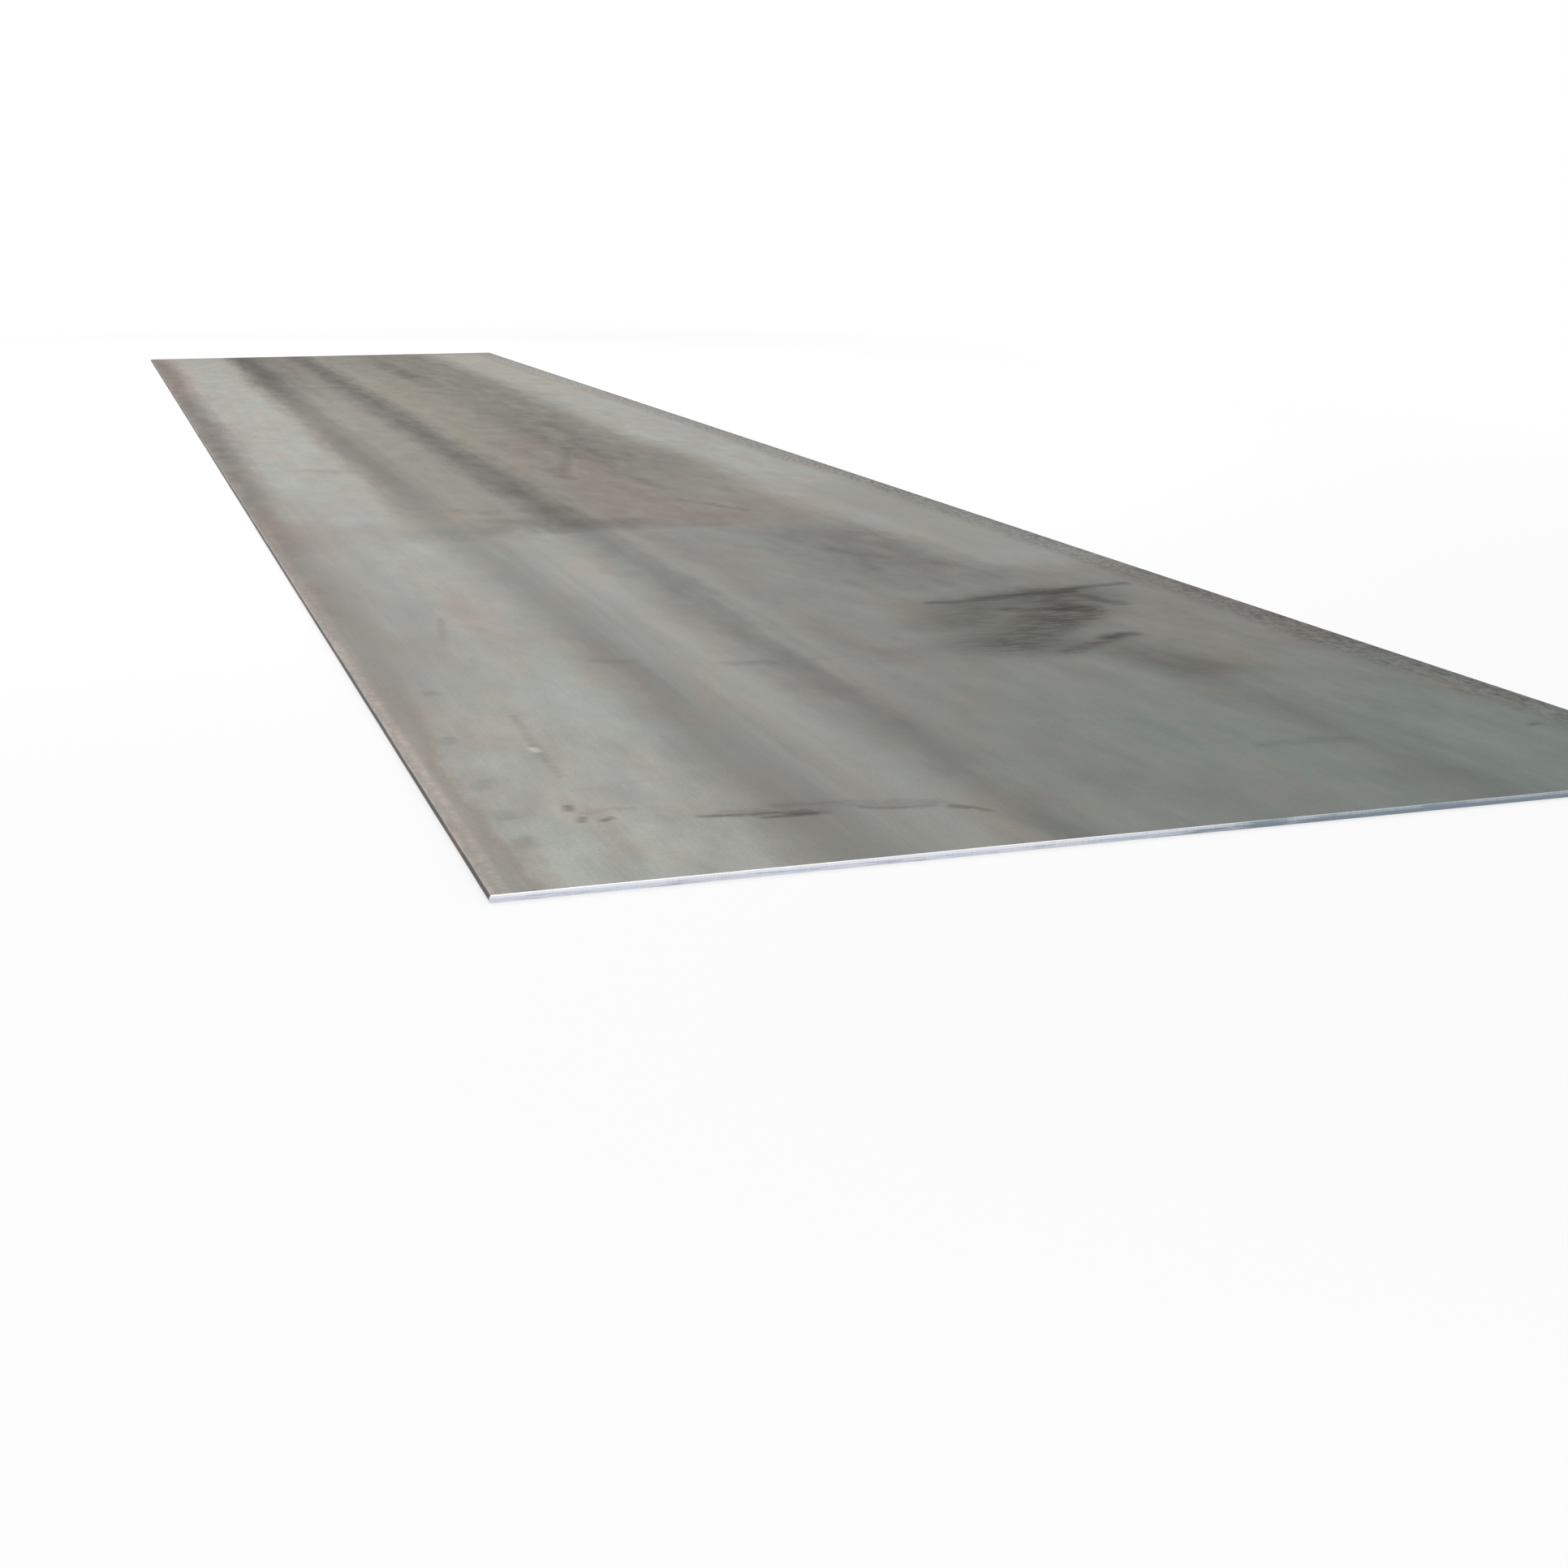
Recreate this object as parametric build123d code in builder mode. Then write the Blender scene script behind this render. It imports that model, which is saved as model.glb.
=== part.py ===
"""Hot-rolled steel plate, 8 x 1500 x 8000 mm, lying flat.

The plate is one solid. It is cut from a rolled strip, so its four sides differ:
  - the two long sides are mill edges, left as the rolls leave them, and bulge outwards;
  - the two ends are sheared, so each has a drawn-in corner where the blade enters, a smooth
    upright band below it, and a rough band that leans back to the other face.
The two ends of a strip cut to length are sheared from opposite faces: the leading end (+X) is
drawn in at the top face, and the trailing end (-X) at the underside.

Millimetres. The origin is the middle of the underside. X runs along the rolling direction,
Y across the plate and Z up.
"""

import os

from build123d import *

# Overall sizes
plate_length = 8000.0  # between the upright bands of the two sheared ends
plate_width = 1500.0  # over the bulge of both mill edges
plate_thickness = 8.0

# Mill edges, on the two long sides
mill_edge_bulge = 2.0  # from the end of the flat face to the furthest point of the side
mill_corner_radius = 1.2  # softens the corner between a flat face and the bulging side

# Sheared ends
rollover_drop = 0.9  # how far down the end the corner drawn in by the blade reaches
rollover_run = 0.9  # how far it reaches along the face
rollover_radius = 1.1  # of that corner, which meets the face and the end at a slight angle
burnish_height = 2.5  # the smooth upright band under that corner
fracture_setback = 0.35  # how far the rough band leans back by the time it meets the other face

# The flat faces stop short of the sides by the bulge
flat_half_width = plate_width / 2 - mill_edge_bulge
half_length = plate_length / 2
half_width = plate_width / 2
mid_thickness = plate_thickness / 2

# Where the smooth band of each end gives way to the rough one
smooth_depth = rollover_drop + burnish_height
leading_band_low = plate_thickness - smooth_depth
trailing_band_high = smooth_depth

with BuildPart() as steel_plate:
    # The rolled section, run along the rolling direction
    with BuildSketch(Plane.YZ.offset(-half_length)) as rolled_section:
        with BuildLine():
            underside = Line((-flat_half_width, 0), (flat_half_width, 0))
            side = ThreePointArc(
                underside @ 1, (half_width, mid_thickness), (flat_half_width, plate_thickness)
            )
            top_face = Line(side @ 1, (-flat_half_width, plate_thickness))
            ThreePointArc(top_face @ 1, (-half_width, mid_thickness), underside @ 0)
        make_face()
        fillet(rolled_section.vertices(), radius=mill_corner_radius)
    extrude(amount=plate_length)

    # The plate seen from its long side, with a sheared end at each side of the view
    with BuildSketch(Plane.XZ):
        with BuildLine():
            leading_end = Polyline(
                (half_length - fracture_setback, 0),
                (half_length, leading_band_low),
                (half_length, plate_thickness - rollover_drop),
            )
            leading_rollover = RadiusArc(
                leading_end @ 1, (half_length - rollover_run, plate_thickness), -rollover_radius
            )
            trailing_end = Polyline(
                (-half_length + fracture_setback, plate_thickness),
                (-half_length, trailing_band_high),
                (-half_length, rollover_drop),
            )
            trailing_rollover = RadiusArc(
                trailing_end @ 1, (-half_length + rollover_run, 0), -rollover_radius
            )
            Line(leading_rollover @ 1, trailing_end @ 0)
            Line(trailing_rollover @ 1, leading_end @ 0)
        make_face()
    extrude(amount=plate_width, both=True, mode=Mode.INTERSECT)

steel_plate.part.label = "steel_plate"

os.makedirs("parts", exist_ok=True)
export_step(steel_plate.part, "parts/steel_plate.step")
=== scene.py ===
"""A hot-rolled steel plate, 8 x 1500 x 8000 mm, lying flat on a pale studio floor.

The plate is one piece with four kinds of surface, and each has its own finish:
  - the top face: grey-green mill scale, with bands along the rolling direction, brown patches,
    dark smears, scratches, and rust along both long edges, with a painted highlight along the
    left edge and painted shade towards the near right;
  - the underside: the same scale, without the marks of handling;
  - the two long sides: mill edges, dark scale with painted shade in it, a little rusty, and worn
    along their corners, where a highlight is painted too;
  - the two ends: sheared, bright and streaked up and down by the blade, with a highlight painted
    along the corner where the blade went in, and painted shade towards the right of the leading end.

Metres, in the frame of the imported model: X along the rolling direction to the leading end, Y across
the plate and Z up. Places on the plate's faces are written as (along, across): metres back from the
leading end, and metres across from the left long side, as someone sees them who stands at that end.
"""

from __future__ import annotations

import logging
import math
from abc import ABC, abstractmethod
from dataclasses import asdict, dataclass
from enum import Enum
from typing import ClassVar, Optional, Union

import bpy
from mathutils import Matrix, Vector

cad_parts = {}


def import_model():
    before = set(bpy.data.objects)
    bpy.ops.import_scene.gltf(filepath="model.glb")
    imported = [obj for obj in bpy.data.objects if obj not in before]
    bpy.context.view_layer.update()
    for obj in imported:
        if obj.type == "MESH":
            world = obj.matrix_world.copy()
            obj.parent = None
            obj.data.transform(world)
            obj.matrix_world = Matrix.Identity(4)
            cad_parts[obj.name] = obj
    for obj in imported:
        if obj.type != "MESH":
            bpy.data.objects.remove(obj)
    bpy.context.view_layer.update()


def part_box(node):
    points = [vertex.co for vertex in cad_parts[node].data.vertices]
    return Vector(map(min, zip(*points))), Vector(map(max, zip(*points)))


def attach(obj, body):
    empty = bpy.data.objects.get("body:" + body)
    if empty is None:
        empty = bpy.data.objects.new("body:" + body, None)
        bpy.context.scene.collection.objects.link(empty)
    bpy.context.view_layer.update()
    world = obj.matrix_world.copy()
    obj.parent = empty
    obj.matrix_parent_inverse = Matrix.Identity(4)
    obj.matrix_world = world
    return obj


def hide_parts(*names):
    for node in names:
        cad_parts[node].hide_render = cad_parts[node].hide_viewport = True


LOG = logging.getLogger("steel_plate")

Colour = tuple[float, float, float]
Place = tuple[float, float]
Value = Union["Signal", bpy.types.NodeSocket, float]

USUAL_SWING: Place = (-0.2, 0.2)  # what a noise about 0 mostly keeps between


class Signal:
    """A number or vector inside a node tree, whose operators add Math nodes to that tree."""

    def __init__(self, bench: Bench, socket: bpy.types.NodeSocket) -> None:
        """Wraps an output socket of one of the bench's nodes."""
        self.bench = bench
        self.socket = socket

    def __add__(self, other: Value) -> Signal:
        """The sum."""
        return self.bench.math("ADD", self, other)

    def __sub__(self, other: Value) -> Signal:
        """The difference."""
        return self.bench.math("SUBTRACT", self, other)

    def __rsub__(self, other: Value) -> Signal:
        """The difference, with this signal taken away."""
        return self.bench.math("SUBTRACT", other, self)

    def __mul__(self, other: Value) -> Signal:
        """The product."""
        return self.bench.math("MULTIPLY", self, other)

    def __truediv__(self, other: Value) -> Signal:
        """The quotient."""
        return self.bench.math("DIVIDE", self, other)

    def __abs__(self) -> Signal:
        """The size without its sign."""
        return self.bench.math("ABSOLUTE", self)

    __radd__ = __add__
    __rmul__ = __mul__


@dataclass(frozen=True)
class Grain:
    """A kind of noise on a surface."""

    length: float  # of its cells along the surface, in metres
    width: float  # of its cells across it
    seed: float  # tells it from the other kinds
    detail: float = 3.0  # how many times it halves
    roughness: float = 0.5  # the weight of each halving


class Bench:
    """Adds nodes to a shader or geometry tree and joins them up."""

    def __init__(self, tree: bpy.types.NodeTree) -> None:
        """Takes the tree to work on."""
        self.tree = tree

    def node(self, kind: str, **settings: object) -> bpy.types.Node:
        """Adds a node.

        Args:
            kind: the node's type.
            settings: its settings, by name.

        Returns:
            The node.
        """
        made = self.tree.nodes.new(kind)
        for name, setting in settings.items():
            setattr(made, name, setting)
        return made

    def feed(self, socket: bpy.types.NodeSocket, value: object) -> None:
        """Gives a value to an input.

        Args:
            socket: the input.
            value: a signal or a socket, which is joined to it, or a constant, which is written.
        """
        if isinstance(value, Signal):
            self.tree.links.new(value.socket, socket)
        elif isinstance(value, bpy.types.NodeSocket):
            self.tree.links.new(value, socket)
        else:
            socket.default_value = value

    def signal(self, node: bpy.types.Node, output: Union[int, str] = 0, **inputs: object) -> Signal:
        """Feeds a node and wraps one of its outputs.

        Args:
            node: the node.
            output: the output's number or name.
            inputs: the values of its inputs, by name, with spaces written as underscores.

        Returns:
            The output.
        """
        for name, value in inputs.items():
            self.feed(node.inputs[name.replace("_", " ")], value)
        return Signal(self, node.outputs[output])

    def math(self, operation: str, *terms: Value) -> Signal:
        """Adds a Math node.

        Args:
            operation: what it does.
            terms: its inputs, in order.

        Returns:
            The result.
        """
        made = self.node("ShaderNodeMath", operation=operation)
        for socket, term in zip(made.inputs, terms):
            self.feed(socket, term)
        return Signal(self, made.outputs[0])

    def vector(self, operation: str, *terms: object, output: str = "Vector") -> Signal:
        """Adds a Vector Math node.

        Args:
            operation: what it does.
            terms: its inputs, in order.
            output: the output that holds its result.

        Returns:
            The result.
        """
        made = self.node("ShaderNodeVectorMath", operation=operation)
        for socket, term in zip(made.inputs, terms):
            self.feed(socket, term)
        return Signal(self, made.outputs[output])

    def blend(self, value: Value, factor: Value, rest: Value) -> Signal:
        """The value times the factor, plus the rest."""
        return self.math("MULTIPLY_ADD", value, factor, rest)

    def ramp(self, value: Value, low: Value, high: Value, start: Value = 0.0, end: Value = 1.0) -> Signal:
        """Eases from start to end while the value goes from low to high, and holds outside that."""
        made = self.node("ShaderNodeMapRange", interpolation_type="SMOOTHSTEP", clamp=False)
        return self.signal(made, Value=value, From_Min=low, From_Max=high, To_Min=start, To_Max=end)

    def limit(self, value: Value, most: float = 1.0) -> Signal:
        """Keeps a value between 0 and the most it may be."""
        return self.signal(self.node("ShaderNodeClamp"), Value=value, Max=most)

    def scaled(self, vector: object, factor: Value) -> Signal:
        """A vector made longer or shorter, or a colour made lighter or darker."""
        made = self.node("ShaderNodeVectorMath", operation="SCALE")
        return self.signal(made, Vector=vector, Scale=factor)

    def join(self, x: Value, y: Value, z: Value = 0.0) -> Signal:
        """A vector of three parts."""
        return self.signal(self.node("ShaderNodeCombineXYZ"), X=x, Y=y, Z=z)

    def split(self, vector: Signal) -> tuple[Signal, ...]:
        """The three parts of a vector."""
        made = self.node("ShaderNodeSeparateXYZ")
        self.feed(made.inputs[0], vector)
        return tuple(Signal(self, socket) for socket in made.outputs)

    def place(self) -> tuple[Signal, ...]:
        """The x, y and z of a material's point, in metres from the object's origin."""
        return self.split(Signal(self, self.node("ShaderNodeTexCoord").outputs["Object"]))

    def noise(self, grain: Grain, x: Value, y: Value, seed: Value = 0.0) -> Signal:
        """Adds a noise about 0.5.

        Args:
            grain: its kind.
            x: how far along the surface a point lies, in metres.
            y: how far across it.
            seed: makes it anew.

        Returns:
            The noise at that point.
        """
        place = self.join(x * (1.0 / grain.length), y * (1.0 / grain.width), seed + grain.seed)
        made = self.node("ShaderNodeTexNoise")
        made.inputs["Scale"].default_value = 1.0
        return self.signal(made, Vector=place, Detail=grain.detail, Roughness=grain.roughness)

    def swing(self, grain: Grain, x: Value, y: Value, seed: Value = 0.0) -> Signal:
        """The same noise about 0."""
        return self.noise(grain, x, y, seed) - 0.5

    def relief(self, height: Signal, depth: float, strength: float) -> Signal:
        """The normals of a bumpy surface, whose bumps are so many metres deep."""
        made = self.node("ShaderNodeBump")
        return self.signal(made, Strength=strength, Distance=depth, Height=height)

    def mix(self, share: Value, first: object, second: object) -> Signal:
        """Mixes two colours.

        Args:
            share: how much of the second there is.
            first: the first colour, or a signal of one.
            second: the second.

        Returns:
            The mixed colour.
        """
        made = self.node("ShaderNodeMix", data_type="RGBA")
        sockets = {socket.identifier: socket for socket in made.inputs}
        for name, value in (("Factor_Float", share), ("A_Color", first), ("B_Color", second)):
            if isinstance(value, tuple):
                value = (*value, 1.0)
            self.feed(sockets[name], value)
        results = {socket.identifier: socket for socket in made.outputs}
        return Signal(self, results["Result_Color"])


@dataclass(frozen=True)
class Camera:
    """The camera of the photograph, fitted to the plate's corners and edges."""

    location: tuple[float, float, float] = (5.9503, -1.0917, 0.6453)
    heading: float = 161.82  # degrees in plan, from +X towards +Y
    dip: float = 15.03  # degrees below level
    focal_length: float = 49.16  # millimetres
    sensor: float = 36.0  # millimetres
    nearest: float = 0.01  # metres from the lens, short of which it shows nothing

    def place(self) -> None:
        """Adds the camera and makes it the scene's own."""
        lens = bpy.data.cameras.new("camera")
        lens.lens = self.focal_length
        lens.sensor_width = self.sensor
        lens.clip_start = self.nearest
        camera = bpy.data.objects.new("camera", lens)
        camera.location = self.location
        camera.rotation_euler = (math.radians(90 - self.dip), 0, math.radians(self.heading - 90))
        bpy.context.scene.collection.objects.link(camera)
        bpy.context.scene.camera = camera


@dataclass(frozen=True)
class Softbox:
    """A square lamp that lights the plate evenly."""

    name: str
    location: tuple[float, float, float]
    target: tuple[float, float, float]
    side: float
    power: float  # watts

    def hang(self) -> None:
        """Adds the lamp."""
        light = bpy.data.lights.new(self.name, "AREA")
        light.size = self.side
        light.energy = self.power
        lamp = bpy.data.objects.new(self.name, light)
        lamp.location = self.location
        aim = Vector(self.target) - Vector(self.location)
        lamp.rotation_euler = aim.to_track_quat("-Z", "Y").to_euler()
        bpy.context.scene.collection.objects.link(lamp)


@dataclass(frozen=True)
class Size:
    """The plate's overall size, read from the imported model."""

    length: float
    width: float
    thickness: float

    @classmethod
    def of_node(cls, node: str) -> Size:
        """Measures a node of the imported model."""
        low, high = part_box(node)
        return cls(*(high - low))


@dataclass(frozen=True)
class Studio:
    """A pale floor, a white surround and soft light."""

    floor_side: float = 160.0
    floor_drop: float = 0.0002  # below the underside, so that the two don't share a plane
    floor_colour: Colour = (0.88, 0.88, 0.88)
    floor_own_light: float = 0.62  # of what the camera sees of the floor, next to the plate
    fade_from: float = 0.3  # metres from the plate, where the floor starts to fade to white
    fade_to: float = 3.0
    surround_colour: Colour = (1.0, 1.0, 1.0)
    world_light: float = 0.62
    lamps: tuple[Softbox, ...] = (
        Softbox("overhead", (-2.0, -1.5, 5.0), (0.0, 0.0, 0.0), side=6.0, power=330.0),
        Softbox("front", (8.5, -2.0, 3.2), (3.0, 0.0, 0.0), side=3.0, power=90.0),
    )

    def build(self, size: Size) -> None:
        """Sets how colours are shown, and adds the surround, the floor and the lamps.

        Args:
            size: the plate that lies in the studio.
        """
        bpy.context.scene.view_settings.view_transform = "Standard"
        self._surround()
        self._floor(size)
        for lamp in self.lamps:
            lamp.hang()

    def _seen(self, bench: Bench) -> Signal:
        """Tells what the camera sees, itself or in a reflection, from what only lights the plate.

        Args:
            bench: the bench of the surface or the world.

        Returns:
            1 where it is seen, and 0 for its light.
        """
        path = bench.node("ShaderNodeLightPath")
        seen = bench.math("MAXIMUM", path.outputs["Is Camera Ray"], path.outputs["Is Glossy Ray"])
        return bench.math("MAXIMUM", seen, path.outputs["Is Transmission Ray"])

    def _surround(self) -> None:
        """White to look at, and a softer light on the plate."""
        world = bpy.data.worlds.new("surround")
        world.use_nodes = True
        world.node_tree.nodes.clear()
        bench = Bench(world.node_tree)
        strength = bench.ramp(self._seen(bench), 0.0, 1.0, self.world_light, 1.0)
        sky = bench.node("ShaderNodeBackground")
        glow = bench.signal(sky, Color=(*self.surround_colour, 1.0), Strength=strength)
        bench.feed(bench.node("ShaderNodeOutputWorld").inputs["Surface"], glow)
        bpy.context.scene.world = world

    def _floor(self, size: Size) -> None:
        """Adds a large sheet that holds the plate's shadow and fades to white away from it.

        Args:
            size: the plate.
        """
        half = self.floor_side / 2
        level = -self.floor_drop
        mesh = bpy.data.meshes.new("floor")
        corners = [(-half, -half, level), (half, -half, level), (half, half, level), (-half, half, level)]
        mesh.from_pydata(corners, [], [(0, 1, 2, 3)])
        floor = bpy.data.objects.new("floor", mesh)
        bpy.context.scene.collection.objects.link(floor)

        material = bpy.data.materials.new("studio_floor")
        material.use_nodes = True
        material.node_tree.nodes.clear()
        bench = Bench(material.node_tree)
        x, y, _ = bench.place()
        off_end = bench.math("MAXIMUM", abs(x) - size.length / 2, 0.0)
        off_side = bench.math("MAXIMUM", abs(y) - size.width / 2, 0.0)
        away = bench.math("SQRT", off_end * off_end + off_side * off_side)
        own = bench.ramp(away, self.fade_from, self.fade_to, self.floor_own_light, 1.0)
        matte = bench.signal(bench.node("ShaderNodeBsdfDiffuse"), Color=(*self.floor_colour, 1.0))
        glow = bench.signal(bench.node("ShaderNodeEmission"), Color=(*self.surround_colour, 1.0))
        blend = bench.node("ShaderNodeMixShader")
        for socket, value in zip(blend.inputs, (own * self._seen(bench), matte, glow)):
            bench.feed(socket, value)
        bench.feed(bench.node("ShaderNodeOutputMaterial").inputs["Surface"], blend.outputs[0])
        mesh.materials.append(material)


class Face(Enum):
    """The two rolled faces."""

    TOP = "top"
    UNDERSIDE = "underside"


# The noises of a rolled face, from broad to fine
SWAY = Grain(1.25, 0.50, seed=1.0)
CLOUD = Grain(0.55, 0.20, seed=7.0, detail=4.0, roughness=0.55)
STREAKS = Grain(0.50, 0.028, seed=4.0, detail=4.0)
TINT = Grain(0.28, 0.10, seed=8.0, detail=4.0, roughness=0.6)
FIBRE = Grain(0.20, 0.0038, seed=9.0)
MOTTLE = Grain(0.16, 0.06, seed=5.0, detail=5.0, roughness=0.62)
RAGGED = Grain(0.11, 0.07, seed=2.0, detail=4.0, roughness=0.65)
FRAYED = Grain(0.030, 0.022, seed=3.0, roughness=0.6)
FLECKS = Grain(0.022, 0.010, seed=11.0, roughness=0.7)
STROKES = Grain(0.014, 0.045, seed=6.0, detail=4.0, roughness=0.6)
SPECKLE = Grain(0.0062, 0.0045, seed=10.0)


class Ground:
    """Where a point of a rolled face lies, and the unevenness that the face's marks share."""

    def __init__(self, bench: Bench, size: Size, seed: float) -> None:
        """Reads the point's place.

        Args:
            bench: the material's bench.
            size: the plate.
            seed: sets the unevenness of this face.
        """
        x, y, _ = bench.place()
        self.bench = bench
        self.seed = seed
        self.along = size.length / 2 - x
        self.across = y + size.width / 2
        self.from_right = size.width - self.across
        self.sway = self.swing(SWAY)
        self.ragged = self.swing(RAGGED)
        self.frayed = self.swing(FRAYED)
        self.streaks = self.swing(STREAKS)
        self.blotches = self.swing(MOTTLE)
        self.uneven = self.blotches * 2.0 + 1.0  # about 1, to weaken and strengthen a mark
        self.strokes = bench.ramp(self.swing(STROKES), -0.16, 0.12)
        self.flecks = bench.ramp(self.swing(FLECKS), -0.10, 0.10)
        # Marks end unevenly, more along the rolling direction than across it
        self.far = self.moved(self.along, ragged=0.30, sway=0.5, streaks=0.1)
        self.side = self.moved(self.across, ragged=0.06, sway=0.07, streaks=0.05)
        self.verge = self.moved(self.across, ragged=0.10, sway=0.15, streaks=0.03)
        # A smear's lines fray, and a scratch's hardly do
        self.smeared = bench.join(
            self.moved(self.along, ragged=0.04, frayed=0.018),
            self.moved(self.across, ragged=0.03, frayed=0.014),
        )
        self.scratched = bench.join(
            self.moved(self.along, frayed=0.006),
            self.moved(self.across, sway=0.008),
        )

    def swing(self, grain: Grain) -> Signal:
        """A noise of this face, about 0."""
        return self.bench.swing(grain, self.along, self.across, self.seed)

    def moved(self, place: Signal, **reaches: float) -> Signal:
        """Moves a place by some of the face's unevenness.

        Args:
            place: how far along or across the plate a point lies.
            reaches: how far each kind of unevenness moves it, in metres, by the kind's name.

        Returns:
            The moved place.
        """
        for kind, reach in reaches.items():
            place = place + getattr(self, kind) * reach
        return place


@dataclass(frozen=True, kw_only=True)
class Mark(ABC):
    """Something that changes a rolled face's tone and colour."""

    name: str
    tone: float = 0.0  # the share it adds to the brightness, below zero where it darkens
    green: float = 0.0
    brown: float = 0.0
    red: float = 0.0

    @abstractmethod
    def cover(self, ground: Ground) -> Signal:
        """1 where the mark is whole, and 0 where there is none."""


@dataclass(frozen=True, kw_only=True)
class Band(Mark):
    """A long band in the rolling direction, strongest along its middle."""

    across: float
    half_width: float
    starts: Optional[Place] = None  # grows between these two places along the plate
    stops: Optional[Place] = None  # fades between these
    patchy: float = 0.5  # how much of it the unevenness changes

    def cover(self, ground: Ground) -> Signal:
        """Eases from the band's middle outwards.

        Args:
            ground: the face that it lies on.

        Returns:
            How much of the mark there is at each point.
        """
        bench = ground.bench
        cover = bench.ramp(abs(ground.side - self.across), 0.0, self.half_width, 1.0, 0.0)
        cover = cover * bench.blend(ground.uneven, self.patchy, 1.0 - self.patchy)
        if self.starts:
            cover = cover * bench.ramp(ground.far, *self.starts)
        if self.stops:
            cover = cover * bench.ramp(ground.far, *self.stops, 1.0, 0.0)
        return cover


@dataclass(frozen=True, kw_only=True)
class Patch(Mark):
    """An area with soft, uneven edges."""

    along: Optional[Place] = None  # from one end of the plate to the other where there is none
    across: Place
    soft: Place  # half of the width of its edges, along and across

    def cover(self, ground: Ground) -> Signal:
        """Fills the area between the patch's sides.

        Args:
            ground: the face that it lies on.

        Returns:
            How much of the mark there is at each point.
        """
        cover = self._between(ground.verge, self.across, self.soft[1]) * ground.uneven
        if self.along:
            cover = cover * self._between(ground.far, self.along, self.soft[0])
        return cover

    def _between(self, value: Signal, sides: Place, soft: float) -> Signal:
        """Tells whether a value lies between two places.

        Args:
            value: the value.
            sides: the two places.
            soft: half of the width over which it eases at each.

        Returns:
            1 between them and 0 outside.
        """
        low, high = sides
        half = (high - low) / 2
        off_middle = abs(value - (low + half))
        return value.bench.ramp(off_middle, half - soft, half + soft, 1.0, 0.0)


@dataclass(frozen=True, kw_only=True)
class Edging(Mark):
    """A strip along one long edge."""

    right: bool
    width: float
    soft: float
    starts: Optional[Place] = None  # grows between these two places along the plate
    broken: float = 0.0  # how much of it the fine grain interrupts
    ragged: float = 0.96  # how far its inner side wanders, as a share of its softness
    swaying: float = 3.2

    def cover(self, ground: Ground) -> Signal:
        """Eases from the edge inwards.

        Args:
            ground: the face that it lies on.

        Returns:
            How much of the mark there is at each point.
        """
        bench = ground.bench
        inward = ground.from_right if self.right else ground.across
        wander = ground.ragged * self.ragged + ground.sway * self.swaying
        inward = bench.blend(wander, self.soft, inward)
        cover = bench.ramp(inward, self.width - self.soft, self.width + self.soft, 1.0, 0.0)
        cover = cover * ground.uneven
        if self.starts:
            cover = cover * bench.ramp(ground.along, *self.starts)
        if self.broken:
            cover = cover * bench.blend(ground.flecks, self.broken, 1.0 - self.broken)
        return cover


@dataclass(frozen=True, kw_only=True)
class Smear(Mark):
    """Smears, scrapes or scratches along lines of places."""

    lines: tuple[tuple[Place, ...], ...]
    half_width: float
    broken: float = 0.5  # how much of it the fine grain interrupts
    straight: bool = False  # scratched along the lines, not smeared about them

    def cover(self, ground: Ground) -> Signal:
        """Eases from the lines outwards.

        Args:
            ground: the face that it lies on.

        Returns:
            How much of the mark there is at each point.
        """
        bench = ground.bench
        nearest: Optional[Signal] = None
        for line in self.lines:
            for start, end in zip(line, line[1:]):
                gap = self._gap(ground, start, end)
                nearest = gap if nearest is None else bench.math("MINIMUM", nearest, gap)
        cover = bench.ramp(nearest, 0.0, self.half_width, 1.0, 0.0)
        return cover * bench.blend(ground.strokes, self.broken, 1.0 - self.broken)

    def _gap(self, ground: Ground, start: Place, end: Place) -> Signal:
        """Measures how far each point is from a straight line.

        Args:
            ground: the face.
            start: where the line starts.
            end: where it ends.

        Returns:
            The distance.
        """
        bench = ground.bench
        run, rise = end[0] - start[0], end[1] - start[1]
        reach = run * run + rise * rise
        place = ground.scratched if self.straight else ground.smeared
        offset = bench.vector("SUBTRACT", place, (*start, 0.0))
        toward = (run / reach, rise / reach, 0.0)
        share = bench.limit(bench.vector("DOT_PRODUCT", offset, toward, output="Value"))
        foot = bench.scaled((run, rise, 0.0), share)
        return bench.vector("DISTANCE", offset, foot, output="Value")


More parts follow.
